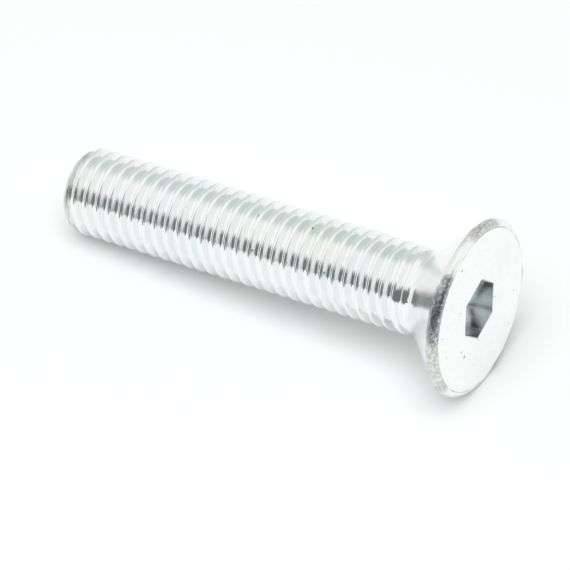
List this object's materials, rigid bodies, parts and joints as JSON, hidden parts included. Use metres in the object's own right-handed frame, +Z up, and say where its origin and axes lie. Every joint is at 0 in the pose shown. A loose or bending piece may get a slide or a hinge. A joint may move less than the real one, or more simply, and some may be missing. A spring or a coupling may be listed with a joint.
{
  "type": "countersunk socket screw",
  "caption": "Countersunk machine screw with a hexagon socket, a conical seat below a flat face and a thread that runs up to the head.",
  "frame": {"origin": "centre of the outline on the floor that the screw lies on", "axes": "+X towards the head, which lies a little higher than the tip's axis does; +Z up, away from the floor"},
  "size_m": [0.0516, 0.0196, 0.0196],
  "materials": {
    "zinc_plate": "bright zinc plating on steel"
  },
  "bodies": {
    "root": {"screw": "zinc_plate"}
  },
  "joints": []
}
